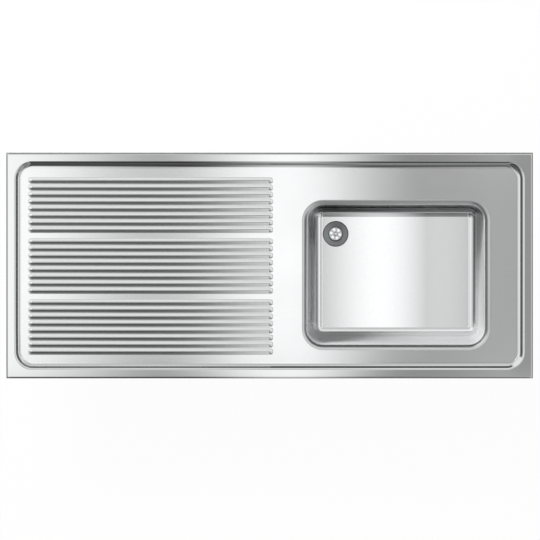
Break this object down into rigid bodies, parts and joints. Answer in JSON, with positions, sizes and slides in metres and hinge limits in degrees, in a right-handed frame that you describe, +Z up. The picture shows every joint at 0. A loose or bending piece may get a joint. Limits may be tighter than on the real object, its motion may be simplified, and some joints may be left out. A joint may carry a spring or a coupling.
{
  "type": "catering sink top",
  "caption": "Stainless sit-on sink top with a ribbed drainer on the left, one deep bowl on the right and a lift-out waste strainer.",
  "frame": {"origin": "middle of the underside of the centre bearer, on the plane that the sink top rests on", "axes": "+X along the top from the drainer to the bowl, +Y to the rear, +Z up"},
  "size_m": [1.4, 0.6, 0.33],
  "materials": {
    "worktop_steel": "satin pressed stainless sheet",
    "bowl_steel": "satin drawn stainless sheet",
    "waste_steel": "turned stainless steel",
    "polished_steel": "polished stainless steel",
    "seal_rubber": "black rubber",
    "white_plastic": "plain moulded plastic",
    "nut_brass": "plain brass",
    "zinc_steel": "galvanised sheet",
    "adhesive": "black adhesive strip",
    "fastener_steel": "bright fasteners",
    "sound_pad": "grey bitumen sheet"
  },
  "bodies": {
    "sink": {"worktop": "worktop_steel", "bowl": "bowl_steel", "waste_body": "waste_steel", "upper_seal": "seal_rubber", "lower_seal": "seal_rubber", "slip_washer": "white_plastic", "back_nut": "nut_brass", "bearer_left": "zinc_steel", "bearer_mid_left": "zinc_steel", "bearer_mid_right": "zinc_steel", "bearer_centre": "zinc_steel", "bearer_right": "zinc_steel", "rear_rail": "zinc_steel", "front_rail": "zinc_steel", "bonding_strips": "adhesive", "weld_studs": "fastener_steel", "stud_washers": "fastener_steel", "stud_nuts": "fastener_steel", "drainer_pad_left": "sound_pad", "drainer_pad_middle": "sound_pad", "drainer_pad_right": "sound_pad", "bowl_pad_front": "sound_pad", "bowl_pad_rear": "sound_pad", "bowl_pad_left": "sound_pad", "bowl_pad_right": "sound_pad", "bowl_pad_base": "sound_pad", "earth_tag": "fastener_steel", "earth_bolt": "fastener_steel", "earth_washers": "fastener_steel", "earth_nut": "fastener_steel"},
    "strainer": {"strainer": "polished_steel"}
  },
  "joints": [
    {"name": "strainer_lift", "type": "slide", "parent": "sink", "child": "strainer", "axis": [0, 0, 1], "range_m": [0, 0.28]}
  ]
}
